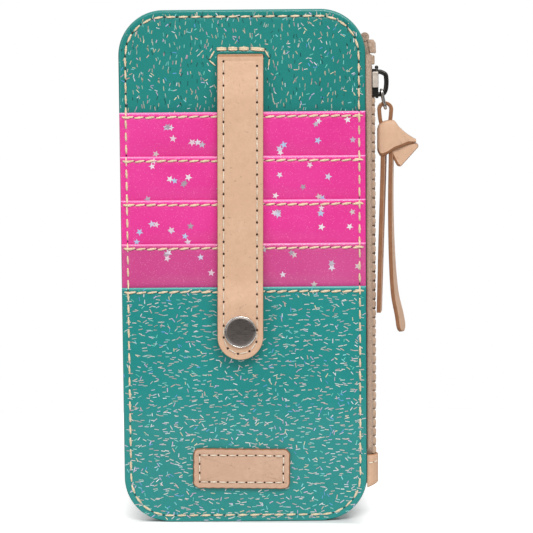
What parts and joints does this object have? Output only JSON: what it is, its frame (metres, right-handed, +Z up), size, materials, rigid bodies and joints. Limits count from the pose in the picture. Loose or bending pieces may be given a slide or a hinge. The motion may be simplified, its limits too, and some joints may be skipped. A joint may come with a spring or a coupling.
{
  "type": "card organizer",
  "caption": "Slim teal vinyl card organizer with pink card pockets, a leather snap strap and a zip pocket down one side with a knotted leather pull.",
  "frame": {"origin": "under the middle of the organizer's own box, on the surface that its bottom edge stands on", "axes": "+Z up along the organizer's height, the card pockets face -Y, and the zip runs up the +X side"},
  "size_m": [0.1162, 0.0182, 0.2],
  "materials": {
    "teal_vinyl": "clear glossy vinyl with glitter strips",
    "pink_vinyl": "clear glossy vinyl with small stars",
    "board": "matt",
    "lining": "plain weave",
    "leather": "smooth, cut edges",
    "patch_leather": "smooth, cut edges",
    "zip_tape": "woven",
    "zip_teeth": "moulded",
    "gunmetal": "dark plated",
    "nickel": "plated"
  },
  "bodies": {
    "root": {"back_board": "board", "back_panel": "teal_vinyl", "card_pocket_1": "pink_vinyl", "card_pocket_2": "pink_vinyl", "card_pocket_3": "pink_vinyl", "card_pocket_4": "pink_vinyl", "front_board": "board", "front_panel": "teal_vinyl", "leather_patch": "patch_leather", "lower_pocket": "teal_vinyl", "pocket_lining_back": "lining", "pocket_lining_front": "lining", "snap_rivet": "nickel", "snap_stud": "nickel", "strap_tongue": "leather", "zip_bottom_stop": "zip_teeth", "zip_end_tab": "leather", "zip_stop_back": "zip_teeth", "zip_stop_front": "zip_teeth", "zip_tape_back": "zip_tape", "zip_tape_front": "zip_tape", "zip_teeth_back": "zip_teeth", "zip_teeth_front": "zip_teeth", "zip_top_end": "zip_tape"},
    "strap": {"strap_face": "leather", "strap_lining": "leather", "snap_cap": "gunmetal", "snap_socket": "nickel"},
    "slider": {"slider_body": "gunmetal", "slider_bail": "gunmetal"},
    "link": {"pull_link": "nickel"},
    "pull": {"leather_pull": "leather"}
  },
  "joints": [
    {"name": "strap_lift", "type": "hinge", "parent": "root", "child": "strap", "pos_m": [-0.01105, -0.00172, 0.18205], "axis": [-1, 0, 0], "range_deg": [0, 165]},
    {"name": "zip_slide", "type": "slide", "parent": "root", "child": "slider", "axis": [0, 0, -1], "range_m": [0, 0.1365], "deforming": ["zip_teeth_front", "zip_teeth_back"]},
    {"name": "link_swing", "type": "hinge", "parent": "slider", "child": "link", "pos_m": [0.04363, 0.00433, 0.167], "axis": [1, 0, 0], "range_deg": [-30, 30]},
    {"name": "pull_swing", "type": "hinge", "parent": "link", "child": "pull", "pos_m": [0.04528, 0.00433, 0.16156], "axis": [0, -1, 0], "range_deg": [0, 110]}
  ]
}
